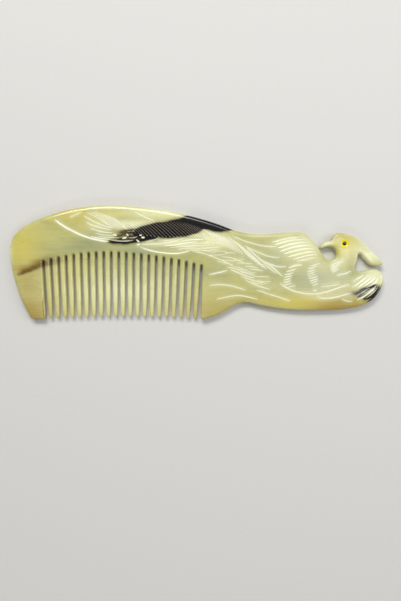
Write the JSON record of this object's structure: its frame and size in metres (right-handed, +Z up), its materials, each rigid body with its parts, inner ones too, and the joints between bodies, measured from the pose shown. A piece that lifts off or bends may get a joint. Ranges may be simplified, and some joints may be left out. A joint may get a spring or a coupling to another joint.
{
  "type": "hair comb",
  "caption": "Flat one-piece horn hair comb with a row of coarse rounded teeth between two guards and an engraved bird-shaped handle with an inlaid eye on each face.",
  "frame": {"origin": "under the middle of the comb's bounding box, on its flat back face", "axes": "+X along the comb from the end guard to the bird's tail, +Y from the tooth tips to the spine, +Z up through the thickness of the plate"},
  "size_m": [0.19, 0.058, 0.0045],
  "materials": {
    "horn": "polished pale yellow-green horn with engraved white strokes and dark patches",
    "eye_ring": "glossy lemon yellow inlay",
    "eye_bead": "glossy black bead"
  },
  "bodies": {
    "root": {"end_guard": "horn", "spine": "horn", "teeth": "horn", "rear_guard": "horn", "handle": "horn", "bird_head": "horn", "beak": "horn", "crest": "horn", "tail": "horn", "eye_ring_front": "eye_ring", "eye_bead_front": "eye_bead", "eye_ring_back": "eye_ring", "eye_bead_back": "eye_bead"}
  },
  "joints": []
}
